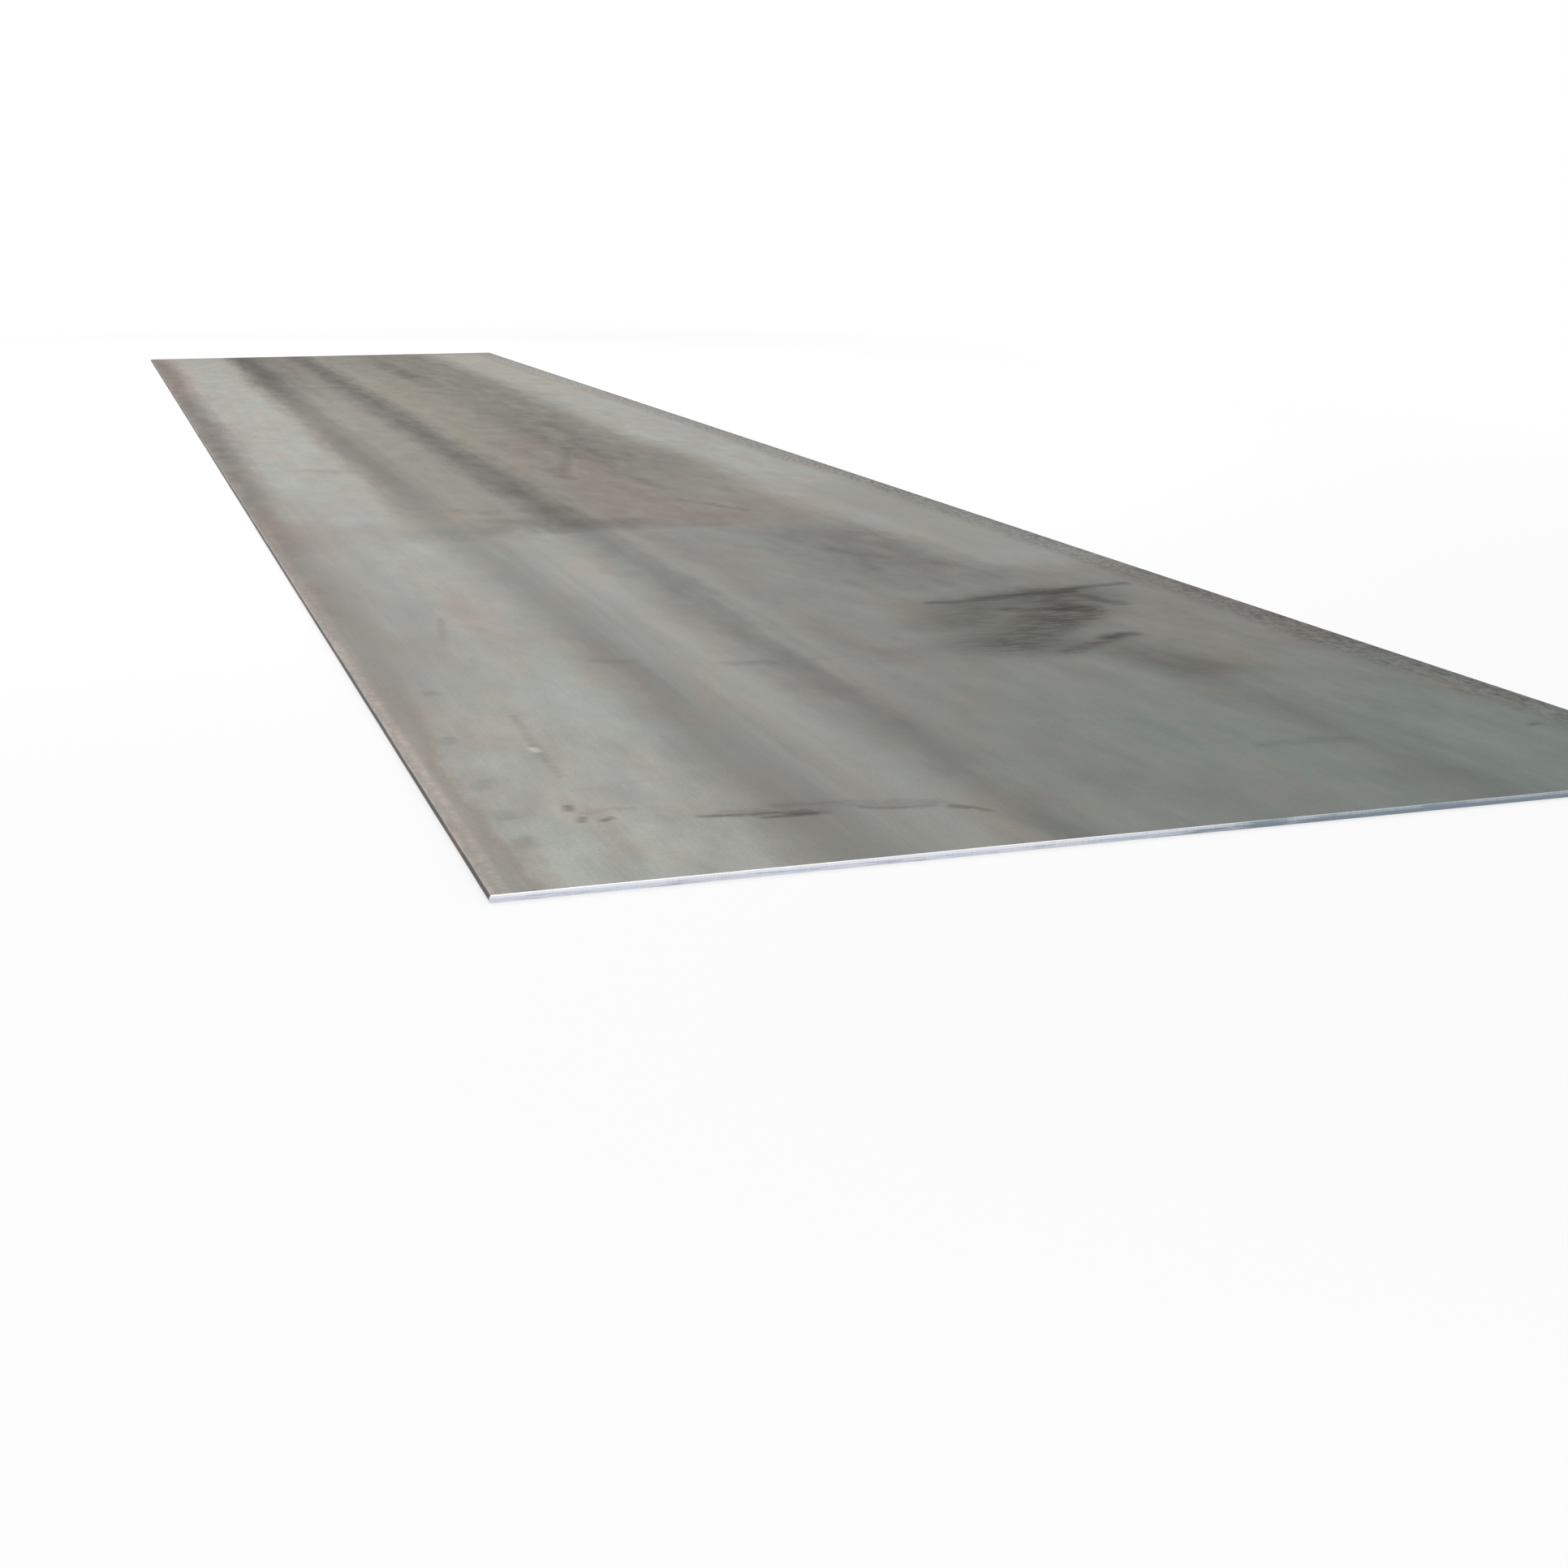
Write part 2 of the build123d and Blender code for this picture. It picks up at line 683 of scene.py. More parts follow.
TOP_MARKS: tuple[Mark, ...] = (
    # The broad tones
    Patch(name="middle", across=(0.43, 1.19), soft=(0.1, 0.07), tone=-0.31),
    Patch(name="near left", along=(-2.0, 0.7), across=(0.06, 0.30), soft=(0.4, 0.05), tone=0.12),
    Patch(
        name="near left corner", along=(-1.0, 0.24), across=(0.06, 0.22), soft=(0.08, 0.03),
        tone=0.09, green=0.25,
    ),
    Patch(name="left line", along=(0.95, 3.2), across=(0.06, 0.17), soft=(0.2, 0.03), tone=-0.10),
    Patch(
        name="near green", along=(-2.0, 0.65), across=(0.75, 2.2), soft=(0.4, 0.2), green=0.65,
        brown=-0.15,
    ),
    Patch(
        name="near right green", along=(-1.0, 0.42), across=(1.19, 1.42), soft=(0.1, 0.04),
        green=0.25, brown=-0.2, red=-0.2,
    ),
    Patch(
        name="near brown", along=(0.75, 1.25), across=(1.22, 1.42), soft=(0.15, 0.05), brown=0.12,
        red=0.04,
    ),
    Patch(name="right shade", along=(1.75, 3.0), across=(1.28, 1.60), soft=(0.2, 0.05), tone=-0.14),
    Patch(name="far warmth", along=(2.4, 9.0), across=(0.3, 1.2), soft=(0.2, 0.06), brown=0.30),
    # Darker towards the near right: partly the scale's own tone, partly painted shade
    Patch(name="near right", along=(-1.0, 1.65), across=(1.17, 2.0), soft=(0.15, 0.06), tone=-0.34),
    Patch(name="shade", along=(1.5, 2.2), across=(0.95, 1.24), soft=(0.25, 0.10), tone=-0.32),
    Patch(name="far shade", along=(3.2, 9.0), across=(0.90, 1.19), soft=(0.5, 0.07), tone=-0.23),
    Patch(name="far shade, on", along=(4.9, 6.5), across=(1.15, 1.26), soft=(0.4, 0.05), tone=-0.17),
    Patch(name="far dusk", along=(3.4, 9.0), across=(0.76, 0.95), soft=(0.4, 0.05), tone=-0.09),
    Patch(name="far cloud", along=(3.4, 5.1), across=(0.93, 1.08), soft=(0.4, 0.05), tone=-0.16),
    Patch(name="far spot", along=(6.4, 7.4), across=(0.89, 0.98), soft=(0.3, 0.03), tone=-0.22),
    Patch(name="olive", along=(4.3, 9.0), across=(0.95, 1.14), soft=(0.4, 0.04), green=0.3, brown=0.2),
    # The streaks that the rolls leave
    Band(name="left streak", across=0.375, half_width=0.095, tone=-0.31),
    Band(name="left streak, on", across=0.385, half_width=0.100, tone=-0.30, starts=(2.3, 3.4)),
    Band(name="left streak, far", across=0.390, half_width=0.130, tone=-0.50, starts=(5.0, 6.8)),
    Band(name="light streak", across=0.515, half_width=0.100, tone=0.38, stops=(2.2, 2.5)),
    Band(
        name="left streak, core", across=0.380, half_width=0.040, tone=-0.12, starts=(0.5, 0.8),
        stops=(1.0, 1.3),
    ),
    Band(
        name="light streak, core", across=0.520, half_width=0.060, tone=0.07, starts=(0.5, 0.9),
        stops=(1.7, 2.1),
    ),
    Band(name="light streak, far", across=0.505, half_width=0.120, tone=-0.25, starts=(5.2, 7.0)),
    Band(name="middle streak", across=0.634, half_width=0.052, tone=-0.20, stops=(2.2, 2.6)),
    Band(
        name="light line", across=0.700, half_width=0.045, tone=0.15, starts=(0.3, 0.9),
        stops=(2.2, 2.4),
    ),
    Band(name="middle streak, on", across=0.630, half_width=0.100, tone=-0.55, starts=(2.2, 2.6)),
    Band(name="right streak", across=1.135, half_width=0.075, tone=-0.17, stops=(0.7, 1.0)),
    # The step across the plate, and the brown beyond it
    Patch(name="step", along=(2.32, 2.48), across=(0.30, 0.78), soft=(0.08, 0.06), tone=-0.16),
    Smear(
        name="step, knot", lines=(((2.34, 0.61), (2.42, 0.63)),), half_width=0.050, tone=-0.26,
        broken=0.3,
    ),
    Patch(name="left step", along=(2.3, 2.65), across=(0.05, 0.34), soft=(0.1, 0.05), tone=-0.07),
    Smear(
        name="step line", lines=(((2.54, 0.47), (2.48, 0.63), (2.37, 0.70), (2.35, 0.92)),),
        half_width=0.075, tone=-0.18, broken=0.3,
    ),
    Smear(
        name="step, rust", lines=(((2.46, 0.66), (2.44, 0.80), (2.47, 0.97)),), half_width=0.090,
        tone=-0.16, red=0.50, broken=0.3,
    ),
    Patch(name="brown field", along=(2.36, 6.2), across=(0.68, 0.97), soft=(0.08, 0.04), brown=0.20),
    Patch(
        name="brown island", along=(2.32, 2.84), across=(0.9, 1.3), soft=(0.1, 0.06), tone=-0.06,
        brown=0.16, red=0.12,
    ),
    Patch(
        name="red field", along=(2.4, 4.2), across=(0.72, 0.94), soft=(0.2, 0.06), tone=-0.13,
        red=0.24,
    ),
    # Blushes of rust
    Patch(name="blush", along=(1.30, 1.55), across=(0.19, 0.26), soft=(0.06, 0.03), red=0.30),
    Patch(name="small blush", along=(1.0, 1.22), across=(0.11, 0.16), soft=(0.06, 0.03), red=0.22),
    Patch(name="streak blush", along=(0.72, 1.06), across=(0.33, 0.38), soft=(0.1, 0.02), red=0.32),
    Patch(
        name="middle blush", along=(0.98, 1.12), across=(0.77, 0.85), soft=(0.05, 0.03), tone=-0.13,
        red=0.26,
    ),
    Patch(name="far right", along=(5.8, 9.0), across=(1.2, 1.43), soft=(0.5, 0.05), brown=0.22),
    Patch(name="far corner", along=(5.9, 9.0), across=(-1.0, 0.13), soft=(0.5, 0.03), red=0.40),
    Patch(
        name="left blush", along=(4.1, 4.9), across=(0.05, 0.14), soft=(0.2, 0.03), tone=-0.10,
        red=0.22,
    ),
    Patch(name="far blush", along=(6.8, 9.0), across=(0.30, 0.72), soft=(0.3, 0.06), red=0.18),
    # The smear
    Smear(
        name="smear, cloud",
        lines=(
            ((0.98, 0.97), (1.12, 1.08), (1.22, 1.14), (1.32, 1.23)),
            ((1.16, 0.99), (1.27, 1.06), (1.31, 1.15)),
        ),
        half_width=0.170, tone=-0.56, green=0.35, brown=0.25, broken=0.25,
    ),
    Smear(
        name="smear, heart",
        lines=(((1.12, 1.12), (1.25, 1.20), (1.38, 1.22)), ((0.97, 0.98), (1.10, 1.12))),
        half_width=0.075, tone=-0.48, green=0.35, brown=0.25, broken=0.8,
    ),
    Smear(
        name="smear, line",
        lines=(
            ((1.34, 1.00), (1.335, 1.05), (1.36, 1.13), (1.37, 1.24), (1.40, 1.30), (1.415, 1.39)),
        ),
        half_width=0.027, tone=-0.50, green=0.5, brown=0.15, broken=0.3, straight=True,
    ),
    Smear(
        name="smear, line, heavy part",
        lines=(((1.355, 1.10), (1.365, 1.19), (1.372, 1.25)), ((1.385, 1.275), (1.395, 1.295))),
        half_width=0.048, tone=-0.50, green=0.5, brown=0.15, broken=0.6,
    ),
    Smear(
        name="smear, wisps",
        lines=(
            ((1.35, 1.27), (1.27, 1.28), (1.24, 1.30)),
            ((0.896, 1.04), (0.927, 1.09), (0.952, 1.13), (0.984, 1.155), (0.99, 1.19)),
            ((1.245, 1.09), (1.23, 1.135), (1.215, 1.18)),
        ),
        half_width=0.028, tone=-0.54, green=0.5, brown=0.2, broken=0.5,
    ),
    Smear(
        name="smear, hook",
        lines=(
            ((1.215, 1.18), (1.23, 1.22), (1.19, 1.225), (1.14, 1.195), (1.12, 1.15), (1.09, 1.11)),
        ),
        half_width=0.042, tone=-0.55, green=0.4, brown=0.3, broken=0.6,
    ),
    Smear(
        name="smear, densest",
        lines=(
            ((1.225, 1.195), (1.228, 1.225), (1.20, 1.222)),
            ((1.16, 1.10), (1.145, 1.14)),
            ((1.375, 1.235), (1.38, 1.265)),
            ((0.975, 1.15), (0.99, 1.175)),
        ),
        half_width=0.040, tone=-0.54, green=0.4, brown=0.3, broken=0.4,
    ),
    Smear(
        name="smear, trail", lines=(((0.93, 1.06), (0.93, 1.12), (0.84, 1.14), (0.74, 1.17)),),
        half_width=0.115, tone=-0.30, green=0.35, brown=0.2, broken=0.2,
    ),
    # Scrapes and dents from handling
    Smear(
        name="scrapes",
        lines=(
            ((0.203, 0.27), (0.194, 0.33)),
            ((0.196, 0.315), (0.190, 0.39)),
            ((0.184, 0.365), (0.176, 0.405)),
            ((0.184, 0.45), (0.168, 0.49)),
            ((0.170, 0.48), (0.165, 0.53)),
            ((0.163, 0.55), (0.150, 0.565), (0.128, 0.578)),
        ),
        half_width=0.0100, tone=-0.38, broken=0.55, straight=True,
    ),
    Smear(
        name="scrapes, dirt",
        lines=(
            ((0.205, 0.30), (0.188, 0.385), (0.182, 0.40)),
            ((0.190, 0.49), (0.180, 0.53)),
            ((0.225, 0.36), (0.200, 0.46)),
        ),
        half_width=0.024, tone=-0.26, red=0.10, broken=0.6,
    ),
    Smear(
        name="scrapes, rust",
        lines=(((0.207, 0.27), (0.196, 0.33), (0.193, 0.375)), ((0.262, 0.16), (0.256, 0.205))),
        half_width=0.012, tone=-0.16, red=0.45, broken=0.6,
    ),
    Smear(
        name="dents",
        lines=(
            ((0.272, 0.140), (0.288, 0.142)),
            ((0.224, 0.143), (0.238, 0.147)),
            ((0.222, 0.168), (0.228, 0.176)),
            ((0.178, 0.335), (0.176, 0.390)),
            ((0.155, 0.545), (0.148, 0.560)),
            ((0.284, 1.400), (0.290, 1.412)),
        ),
        half_width=0.011, tone=-0.46, broken=0.3, straight=True,
    ),
    Smear(
        name="spots",
        lines=(
            ((0.395, 0.066), (0.420, 0.072)),
            ((0.262, 0.070), (0.285, 0.073)),
            ((0.150, 0.070), (0.180, 0.072)),
            ((0.620, 0.064), (0.640, 0.068)),
            ((0.900, 0.091), (0.915, 0.088)),
        ),
        half_width=0.020, tone=-0.18, green=0.2, broken=0.4,
    ),
    Smear(
        name="long scratch",
        lines=(
            ((0.42, 0.163), (0.55, 0.163), (0.74, 0.171)),
            ((1.27, 0.170), (1.36, 0.178), (1.45, 0.191)),
        ),
        half_width=0.012, tone=-0.18, brown=0.2, straight=True,
    ),
    Smear(
        name="faint scratches",
        lines=(
            ((0.02, 0.166), (0.20, 0.163)),
            ((0.985, 0.53), (0.956, 0.62)),
            ((0.962, 0.62), (0.975, 0.88)),
            ((0.35, 0.17), (0.375, 0.28)),
        ),
        half_width=0.014, tone=-0.08, straight=True,
    ),
    Smear(
        name="faint smudges",
        lines=(((0.30, 1.02), (0.29, 1.14)), ((1.05, 0.36), (1.03, 0.40)), ((0.97, 0.53), (0.96, 0.59))),
        half_width=0.028, tone=-0.20,
    ),
    Smear(
        name="far dashes", lines=(((2.71, 0.44), (2.66, 0.49)), ((3.58, 0.22), (3.52, 0.28))),
        half_width=0.060, tone=-0.20,
    ),
    Smear(
        name="far wisps",
        lines=(
            ((3.31, 0.80), (3.60, 0.88), (3.90, 0.95)),
            ((3.20, 0.80), (3.42, 0.79)),
            ((3.40, 0.95), (3.64, 0.985), (3.83, 1.00)),
            ((2.93, 0.97), (3.26, 0.95)),
            ((2.54, 1.04), (2.74, 0.955)),
        ),
        half_width=0.030, tone=-0.26, green=0.2,
    ),
    Smear(
        name="light curve", lines=(((3.25, 0.825), (3.55, 0.89), (3.95, 0.96)),), half_width=0.012,
        tone=0.12,
    ),
    Smear(
        name="chip", lines=(((0.545, 0.161), (0.560, 0.160)),), half_width=0.011, tone=0.75,
        broken=0.3, straight=True,
    ),
    # The long edges
    Edging(
        name="left edge", right=False, width=0.048, soft=0.034, tone=-0.17, brown=0.34, red=0.18,
        broken=0.25,
    ),
    Band(name="left seam", across=0.044, half_width=0.018, tone=-0.12, brown=0.25, stops=(0.5, 1.2)),
    Band(name="left shade", across=0.050, half_width=0.080, tone=-0.17, red=0.14, starts=(0.4, 1.0)),
    Patch(name="left shade, on", along=(3.8, 6.0), across=(0.02, 0.10), soft=(0.5, 0.03), tone=-0.20),
    # Cream rust by the left arris, brightened towards the leading end as part of the painted highlight
    # along that edge
    Smear(
        name="left cream", lines=(((-0.05, 0.018), (0.35, 0.016), (0.90, 0.012), (1.30, 0.010)),),
        half_width=0.010, tone=0.24, red=0.15, broken=0.7, straight=True,
    ),
    # A thin bright line near the left arris: rust tint, and a painted highlight
    Edging(
        name="left border", right=False, width=0.022, soft=0.008, tone=0.24, red=0.15, broken=0.8,
    ),
    Edging(name="left edge, on", right=False, width=0.06, soft=0.045, tone=-0.37, starts=(0.6, 3.2)),
    # Painted highlight along the left arris, where the rounded corner catches the light, tinted with rust
    Edging(
        name="left corner", right=False, width=0.0070, soft=0.0030, tone=0.20, red=0.2, broken=0.7,
    ),
    Patch(
        name="left bloom", along=(2.2, 2.8), across=(0.0, 0.15), soft=(0.14, 0.03), brown=0.1,
        red=0.34,
    ),
    Edging(
        name="right edge", right=True, width=0.066, soft=0.028, tone=-0.46, brown=0.08, broken=0.80,
    ),
    Edging(name="right edge, far", right=True, width=0.06, soft=0.02, tone=0.24, starts=(4.2, 6.5)),
    Edging(name="right line", right=True, width=0.020, soft=0.010, tone=-0.16, broken=0.6),
)


class Finish(ABC):
    """A surface finish, which makes its own material."""

    name: str
    metallic: float
    sheen: float  # the shader's specular level
    relief: float  # the height of its grain, in metres
    relief_strength: float

    def material(self, size: Size) -> bpy.types.Material:
        """Makes the finish.

        Args:
            size: the plate that it covers.

        Returns:
            The material.
        """
        made = bpy.data.materials.new(self.name)
        made.use_nodes = True
        bench = Bench(made.node_tree)
        colour, rough, height = self.surface(bench, size)
        inputs = made.node_tree.nodes["Principled BSDF"].inputs
        bench.feed(inputs["Base Color"], colour)
        bench.feed(inputs["Metallic"], self.metallic)
        bench.feed(inputs["Specular IOR Level"], self.sheen)
        bench.feed(inputs["Roughness"], rough)
        bench.feed(inputs["Normal"], bench.relief(height, self.relief, self.relief_strength))
        return made

    @abstractmethod
    def surface(self, bench: Bench, size: Size) -> tuple[Signal, Signal, Signal]:
        """The colour, the roughness and the height of each point of the surface."""


@dataclass(frozen=True)
class MillScale(Finish):
    """The oxide skin of a rolled face, seen through its wear, rust and dirt, and through the painted
    highlight and painted shade among the top face's marks.
    """

    face: Face
    marks: tuple[Mark, ...] = ()
    underside_seed: float = 50.0  # gives the underside an unevenness of its own
    steel: Colour = (0.228, 0.224, 0.205)
    green: Colour = (0.182, 0.217, 0.194)
    brown: Colour = (0.240, 0.207, 0.147)
    red: Colour = (0.262, 0.190, 0.166)
    green_share: float = 0.22  # of the face, away from its marks
    brown_share: float = 0.12
    red_share: float = 0.30  # where the tint is warmest
    red_spots: Place = (0.04, 0.22)  # the tints where red starts and where it is full
    patchiness: float = 1.2  # how much green and brown come and go
    brown_speckle: float = 0.8
    most_share: float = 0.9  # of any colour, so that what lies under it still shows
    cloud_tone: float = 0.36  # how much each noise changes the brightness
    blotch_tone: float = 0.46
    streak_tone: float = 0.14
    fibre_tone: float = 0.11
    speckle_tone: float = 0.31
    metallic: float = 0.10
    sheen: float = 0.28
    roughness: float = 0.62  # where the tone is average
    average_tone: float = 0.75
    dark_roughness: float = 0.22  # what a fall of the tone by 1 adds
    speckle_roughness: float = 0.08
    relief: float = 0.00008
    relief_strength: float = 0.5

    @property
    def name(self) -> str:
        """The material's name."""
        return f"mill_scale_{self.face.value}"

    def surface(self, bench: Bench, size: Size) -> tuple[Signal, Signal, Signal]:
        """Lays the marks over the plain scale, and gives it grain.

        Args:
            bench: the material's bench.
            size: the plate.

        Returns:
            The colour, the roughness and the height of each point.
        """
        ground = Ground(bench, size, seed=0.0 if self.face is Face.TOP else self.underside_seed)
        cloud = ground.swing(CLOUD)
        tint = ground.swing(TINT)
        fibre = ground.swing(FIBRE)
        speckle = ground.swing(SPECKLE)

        tone: Value = 1.0
        green: Value = cloud * self.patchiness + self.green_share
        brown: Value = tint * self.patchiness + speckle * self.brown_speckle + self.brown_share
        red: Value = bench.ramp(tint, *self.red_spots, 0.0, self.red_share)
        for mark in self.marks:
            cover = mark.cover(ground)
            if mark.tone:
                tone = bench.blend(cover, mark.tone, 1.0) * tone
            if mark.green:
                green = bench.blend(cover, mark.green, green)
            if mark.brown:
                brown = bench.blend(cover, mark.brown, brown)
            if mark.red:
                red = bench.blend(cover, mark.red, red)
        broad = 1.0 + cloud * self.cloud_tone + ground.blotches * self.blotch_tone
        broad = broad + ground.streaks * self.streak_tone
        fine = 1.0 + fibre * self.fibre_tone + speckle * self.speckle_tone
        tone = tone * broad * fine

        colour: object = self.steel
        for share, tinge in ((green, self.green), (brown, self.brown), (red, self.red)):
            colour = bench.mix(bench.limit(share, self.most_share), colour, tinge)
        rough = self.roughness + (self.average_tone - tone) * self.dark_roughness
        rough = rough + speckle * self.speckle_roughness
        height = speckle * 0.6 + fibre * 0.3 + ground.frayed * 0.1
        return bench.scaled(colour, tone), rough, height


# The noises of a sheared end, along its long edges and up it
SMUDGE = Grain(1 / 9, 1 / 60, seed=12.0, detail=4.0, roughness=0.6)
DRAGS = Grain(1 / 22, 1 / 420, seed=14.0, roughness=0.6)
BORDER = Grain(1 / 70, 1.0, seed=13.0)
SCORES = Grain(1 / 900, 1 / 45, seed=11.0)


@dataclass(frozen=True)
class ShearedSteel(Finish):
    """Bright steel where the blade went through, with painted shade towards the right of the leading end.
    """

    name: str = "sheared_end"
    bright: Colour = (0.775, 0.795, 0.86)
    # dull steel, and also the colour that the painted shade on the leading end goes to
    dull: Colour = (0.215, 0.270, 0.310)
    most_dull: float = 0.95
    smudges: Place = (0.02, 0.24)  # the noise where a smudge starts and where it is full
    smudge_share: float = 0.36
    score_share: float = 0.5
    burnish_ends: float = 0.0034  # below the corner that the blade drew in
    burnish_wander: float = 0.0012
    burnish_soft: float = 0.0003  # half of the height over which it ends
    torn_share: float = 0.20  # how dull the torn steel is
    drags: Place = (-0.04, 0.16)  # the noise where a drag in it starts and where it is full
    drag_share: float = 0.34
    tarnish: Place = (0.52, 1.02)  # painted shade: grows between these two places across the leading end
    tarnish_wander: float = 0.2
    tarnish_share: float = 0.76
    dark_stretch_at: float = 0.84  # the middle of a darker stretch of the leading end
    dark_stretch_reach: float = 0.04  # half of its length
    dark_stretch_wander: float = 0.10
    dark_stretch_share: float = 0.45
    # near white along the drawn-in corner: rubbed steel, and a painted highlight where the corner catches
    # the light
    rubbed: Colour = (0.94, 0.94, 0.92)
    rubbed_height: float = 0.0010  # of the drawn-in corner that is rubbed bright and carries a painted highlight
    rubbed_wander: float = 0.0004
    rubbed_share: float = 1.6  # over 1, so that it is full before the corner
    rubbed_spots: Place = (-0.15, 0.0)  # the smudge noise where the rubbing and the painted highlight start and are full
    metallic: float = 0.9
    sheen: float = 0.5
    roughness: float = 0.39
    torn_roughness: float = 0.2
    score_roughness: float = 0.1
    relief: float = 0.0001
    relief_strength: float = 0.6

    def surface(self, bench: Bench, size: Size) -> tuple[Signal, Signal, Signal]:
        """Scores the steel up and down, and dulls it in places.

        Args:
            bench: the material's bench.
            size: the plate.

        Returns:
            The colour, the roughness and the height of each point.
        """
        x, y, z = bench.place()
        # The blade enters from the top at the leading end and from below at the other
        leading = bench.ramp(x, -0.01, 0.01)
        depth = leading * (size.thickness - z) + (1.0 - leading) * z
        across = y + size.width / 2
        scores = bench.swing(SCORES, y, z)
        smudge = bench.swing(SMUDGE, y, z)
        border = bench.swing(BORDER, y, 0.0)

        torn = bench.ramp(
            depth + border * self.burnish_wander,
            self.burnish_ends - self.burnish_soft,
            self.burnish_ends + self.burnish_soft,
        )
        # A darker stretch of the leading end
        from_middle = abs(across + smudge * self.dark_stretch_wander - self.dark_stretch_at)
        dark_stretch = bench.ramp(from_middle, 0.0, self.dark_stretch_reach, self.dark_stretch_share, 0.0)
        # Painted shade, growing towards the right of the leading end
        tarnish = across + smudge * self.tarnish_wander
        tarnish = bench.ramp(tarnish, *self.tarnish, 0.0, self.tarnish_share)
        drags = bench.ramp(bench.swing(DRAGS, y, z), *self.drags)
        # How far each point goes to the dull colour: dull steel, plus the painted shade of the leading
        # end
        dullness_and_shade = torn * (self.torn_share + drags * self.drag_share)
        dullness_and_shade = dullness_and_shade + bench.ramp(smudge, *self.smudges) * self.smudge_share
        dullness_and_shade = dullness_and_shade + scores * self.score_share + leading * (tarnish + dark_stretch)
        colour = bench.mix(bench.limit(dullness_and_shade, self.most_dull), self.bright, self.dull)

        # Rubbed steel and a painted highlight along the drawn-in corner, weaker under the painted shade
        rubbed = depth + border * self.rubbed_wander
        rubbed = bench.limit(bench.ramp(rubbed, 0.0, self.rubbed_height, self.rubbed_share, 0.0))
        rubbed = rubbed * (1.0 - leading * tarnish) * bench.ramp(smudge, *self.rubbed_spots)
        rough = self.roughness + torn * self.torn_roughness + scores * self.score_roughness
        return bench.mix(rubbed, colour, self.rubbed), rough, scores


# The noises of a long side, along it and up it
BLOOMS = Grain(1 / 7, 1 / 60, seed=22.0, detail=4.0)
FLAKES = Grain(1 / 120, 1 / 400, seed=21.0, detail=4.0)


@dataclass(frozen=True)
class MillEdge(Finish):
    """The side that the rolls leave: dark scale, darkened further by painted shade, and slightly rusty.
    """

    name: str = "mill_edge"
    # near black: dark mill scale, with the shade that the sides lie in painted into it
    scale: Colour = (0.045, 0.044, 0.042)
    rust: Colour = (0.150, 0.085, 0.055)
    rust_spots: Place = (-0.02, 0.20)  # the noise where rust starts and where it is full
    rust_share: float = 0.7
    # paler corners: wear, and a painted highlight where the corners catch the light
    rubbed: Colour = (0.42, 0.40, 0.37)
    rubbed_from: Place = (0.0033, 0.0040)  # from mid height, where wear and the painted highlight start and are full
    rubbed_wander: float = 0.001
    rubbed_share: float = 0.7
    flake_tone: float = 0.6  # how much the flakes change the brightness
    metallic: float = 0.2
    sheen: float = 0.5
    roughness: float = 0.62
    flake_roughness: float = 0.2
    relief: float = 0.0002
    relief_strength: float = 0.7

    def surface(self, bench: Bench, size: Size) -> tuple[Signal, Signal, Signal]:
        """Flakes the scale, rusts it in places, and wears its corners and paints a highlight along them.

        Args:
            bench: the material's bench.
            size: the plate.

        Returns:
            The colour, the roughness and the height of each point.
        """
        x, _, z = bench.place()
        flakes = bench.swing(FLAKES, x, z)
        blooms = bench.swing(BLOOMS, x, z)
        rust = bench.ramp(blooms, *self.rust_spots, 0.0, self.rust_share)
        colour = bench.mix(rust, self.scale, self.rust)
        # Wear and a painted highlight along the corners
        off_middle = abs(z - size.thickness / 2) + blooms * self.rubbed_wander
        corner_wear_and_highlight = bench.ramp(off_middle, *self.rubbed_from)
        colour = bench.mix(corner_wear_and_highlight * self.rubbed_share, colour, self.rubbed)
        colour = bench.scaled(colour, 1.0 + flakes * self.flake_tone)
        return colour, self.roughness + flakes * self.flake_roughness, flakes


# The noises of the plate's own shape
GAUGE = Grain(1 / 0.7, 1 / 5, seed=3.0, detail=2.0)
SIDE = Grain(1 / 2.3, 1 / 5, seed=0.0)
BURNISH = Grain(1 / 45, 1.0, seed=1.0)
TORN = Grain(1 / 160, 1 / 700, seed=2.0, detail=4.0)


@dataclass(frozen=True)
class PlateShape:
    """What the mill and the shear do to a plain slab, in metres."""

    bulge: float = 0.002  # of the mill edges
    corner_radius: float = 0.0012  # of the mill edges
    rollover_drop: float = 0.0009
    rollover_run: float = 0.0009
    rollover_radius: float = 0.0011
    burnish_height: float = 0.0025
    burnish_wander: float = 0.0008
    fracture_setback: float = 0.00035
    burr_reach: float = 0.00022
    burr_height: float = 0.0004
    tear_depth: float = 0.00014
    edge_wander: float = 0.0005
    gauge_drift: float = 0.00012


